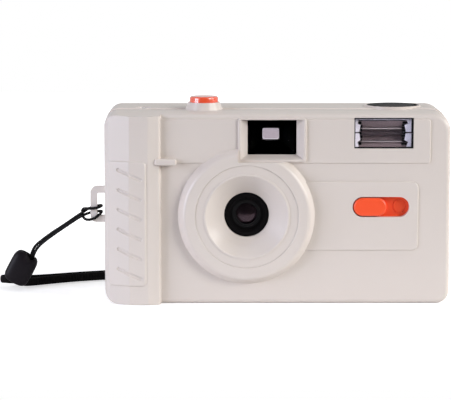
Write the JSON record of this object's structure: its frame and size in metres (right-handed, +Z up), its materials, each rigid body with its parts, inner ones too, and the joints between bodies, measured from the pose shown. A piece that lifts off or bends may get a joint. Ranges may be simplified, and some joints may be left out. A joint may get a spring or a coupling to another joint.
{
  "type": "compact film camera",
  "caption": "Compact reusable 35 mm film camera with fixed lens, viewfinder, built-in flash, thumb-wheel advance, folding rewind crank, hinged back and wrist strap.",
  "frame": {"origin": "centre of the flat base, on the surface the camera stands on", "axes": "+X to the right as seen from the front, +Y away from the lens side, +Z up"},
  "size_m": [0.1543, 0.0771, 0.0691],
  "materials": {
    "cream_abs": "fine moulded texture",
    "cream_nylon": "moulded",
    "black_abs": "moulded",
    "white_acetal": "moulded",
    "orange_abs": "satin",
    "lens_acrylic": "clear",
    "flash_glass": "clear",
    "bright_aluminium": "polished",
    "steel": "plated",
    "black_steel": "blackened",
    "brass": "plain",
    "circuit_laminate": "lacquered",
    "foam": "open cell",
    "silicone": "soft",
    "cell_jacket": "printed film, plain",
    "capacitor_can": "sleeved",
    "ferrite": "varnished",
    "lamp_red": "clear red",
    "strap_weave": "woven"
  },
  "bodies": {
    "case": {"front_cover": "cream_abs", "middle_cover": "cream_abs", "strap_lug": "cream_nylon", "chassis": "black_abs", "hinge_pin": "steel", "lens_bezel": "cream_abs", "lens_barrel": "black_abs", "taking_lens": "lens_acrylic", "lens_retainer": "black_abs", "aperture_disc": "black_steel", "shutter_plate": "black_steel", "shutter_spring": "steel", "finder_tunnel": "black_abs", "finder_front_lens": "lens_acrylic", "finder_eyepiece": "lens_acrylic", "flash_window": "lens_acrylic", "flash_reflector": "bright_aluminium", "flash_tube": "flash_glass", "tube_sleeves": "silicone", "flash_circuit_board": "circuit_laminate", "flash_transformer": "ferrite", "ready_lamp": "lamp_red", "main_capacitor": "capacitor_can", "battery": "cell_jacket", "battery_contacts": "steel", "battery_door_pin": "steel", "battery_leads": "silicone", "counter_window": "lens_acrylic", "latch_spring": "steel", "button_spring": "steel", "case_screws": "steel", "shutter_screws": "steel", "strap_cord": "strap_weave", "strap_bead": "black_abs", "wrist_strap": "strap_weave"},
    "shutter_button": {"shutter_button": "orange_abs"},
    "release_lever": {"release_lever": "white_acetal"},
    "shutter_blade": {"shutter_blade": "black_steel"},
    "flash_slider": {"flash_slider": "orange_abs", "slider_contact": "brass"},
    "back_door": {"back_door": "cream_abs", "door_window": "lens_acrylic", "window_seal": "foam", "door_light_seal": "foam", "pressure_plate": "black_steel", "pressure_spring": "steel"},
    "door_latch": {"door_latch": "cream_abs"},
    "battery_door": {"battery_door": "cream_abs"},
    "film_advance": {"thumb_wheel": "black_abs", "sprocket_shaft": "black_abs"},
    "take_up_spool": {"take_up_spool": "black_abs"},
    "counter_dial": {"counter_dial": "white_acetal"},
    "rewind_sleeve": {"rewind_sleeve": "black_abs"},
    "rewind_knob": {"rewind_knob": "black_abs", "rewind_shaft": "black_abs", "crank_pin": "steel"},
    "rewind_crank": {"rewind_crank": "black_abs"},
    "crank_handle": {"crank_handle": "black_abs"}
  },
  "joints": [
    {"name": "button_press", "type": "slide", "parent": "case", "child": "shutter_button", "axis": [0, 0, -1], "range_m": [0, 0.0016], "stiffness_N_per_m": 400, "springref_m": -0.0012, "deforming": ["button_spring"]},
    {"name": "lever_turn", "type": "hinge", "parent": "case", "child": "release_lever", "pos_m": [-0.0166, -0.009, 0.0505], "axis": [0, -1, 0], "range_deg": [0, 13.5]},
    {"name": "blade_turn", "type": "hinge", "parent": "case", "child": "shutter_blade", "pos_m": [-0.0196, -0.0085, 0.0299], "axis": [0, 1, 0], "range_deg": [0, 30.5]},
    {"name": "flash_switch", "type": "slide", "parent": "case", "child": "flash_slider", "axis": [1, 0, 0], "range_m": [0, 0.0073]},
    {"name": "door_swing", "type": "hinge", "parent": "case", "child": "back_door", "pos_m": [-0.0552, 0.0152, 0.02885], "axis": [0, 0, 1], "range_deg": [0, 110]},
    {"name": "latch_slide", "type": "slide", "parent": "case", "child": "door_latch", "axis": [0, 0, 1], "range_m": [0, 0.0035], "stiffness_N_per_m": 150, "springref_m": -0.001, "deforming": ["latch_spring"]},
    {"name": "battery_door_swing", "type": "hinge", "parent": "case", "child": "battery_door", "pos_m": [0.01035, -0.004, 0.00075], "axis": [0, 1, 0], "range_deg": [0, 100]},
    {"name": "advance_spin", "type": "hinge", "parent": "case", "child": "film_advance", "pos_m": [-0.03461, 0.0071, 0.03], "axis": [0, 0, 1], "continuous": true},
    {"name": "spool_spin", "type": "hinge", "parent": "case", "child": "take_up_spool", "pos_m": [-0.0476, 0.0076, 0.03], "axis": [0, 0, 1], "continuous": true},
    {"name": "counter_spin", "type": "hinge", "parent": "case", "child": "counter_dial", "pos_m": [-0.045, -0.0066, 0.0616], "axis": [0, 0, 1], "continuous": true},
    {"name": "rewind_lift", "type": "slide", "parent": "case", "child": "rewind_sleeve", "axis": [0, 0, 1], "range_m": [0, 0.0054]},
    {"name": "rewind_spin", "type": "hinge", "parent": "rewind_sleeve", "child": "rewind_knob", "pos_m": [0.04, 0.003, 0.06], "axis": [0, 0, 1], "continuous": true},
    {"name": "crank_fold", "type": "hinge", "parent": "rewind_knob", "child": "rewind_crank", "pos_m": [0.047, 0.003, 0.06515], "axis": [0, 1, 0], "range_deg": [0, 150]},
    {"name": "handle_spin", "type": "hinge", "parent": "rewind_crank", "child": "crank_handle", "pos_m": [0.0348, 0.003, 0.0645], "axis": [0, 0, 1], "continuous": true}
  ],
  "couplings": [
    {"joint": "lever_turn", "follows": "button_press", "rad_per_m": 141.81},
    {"joint": "blade_turn", "follows": "button_press", "rad_per_m": 327.25},
    {"joint": "spool_spin", "follows": "advance_spin", "ratio": -0.85714},
    {"joint": "counter_spin", "follows": "advance_spin", "ratio": -0.04}
  ]
}
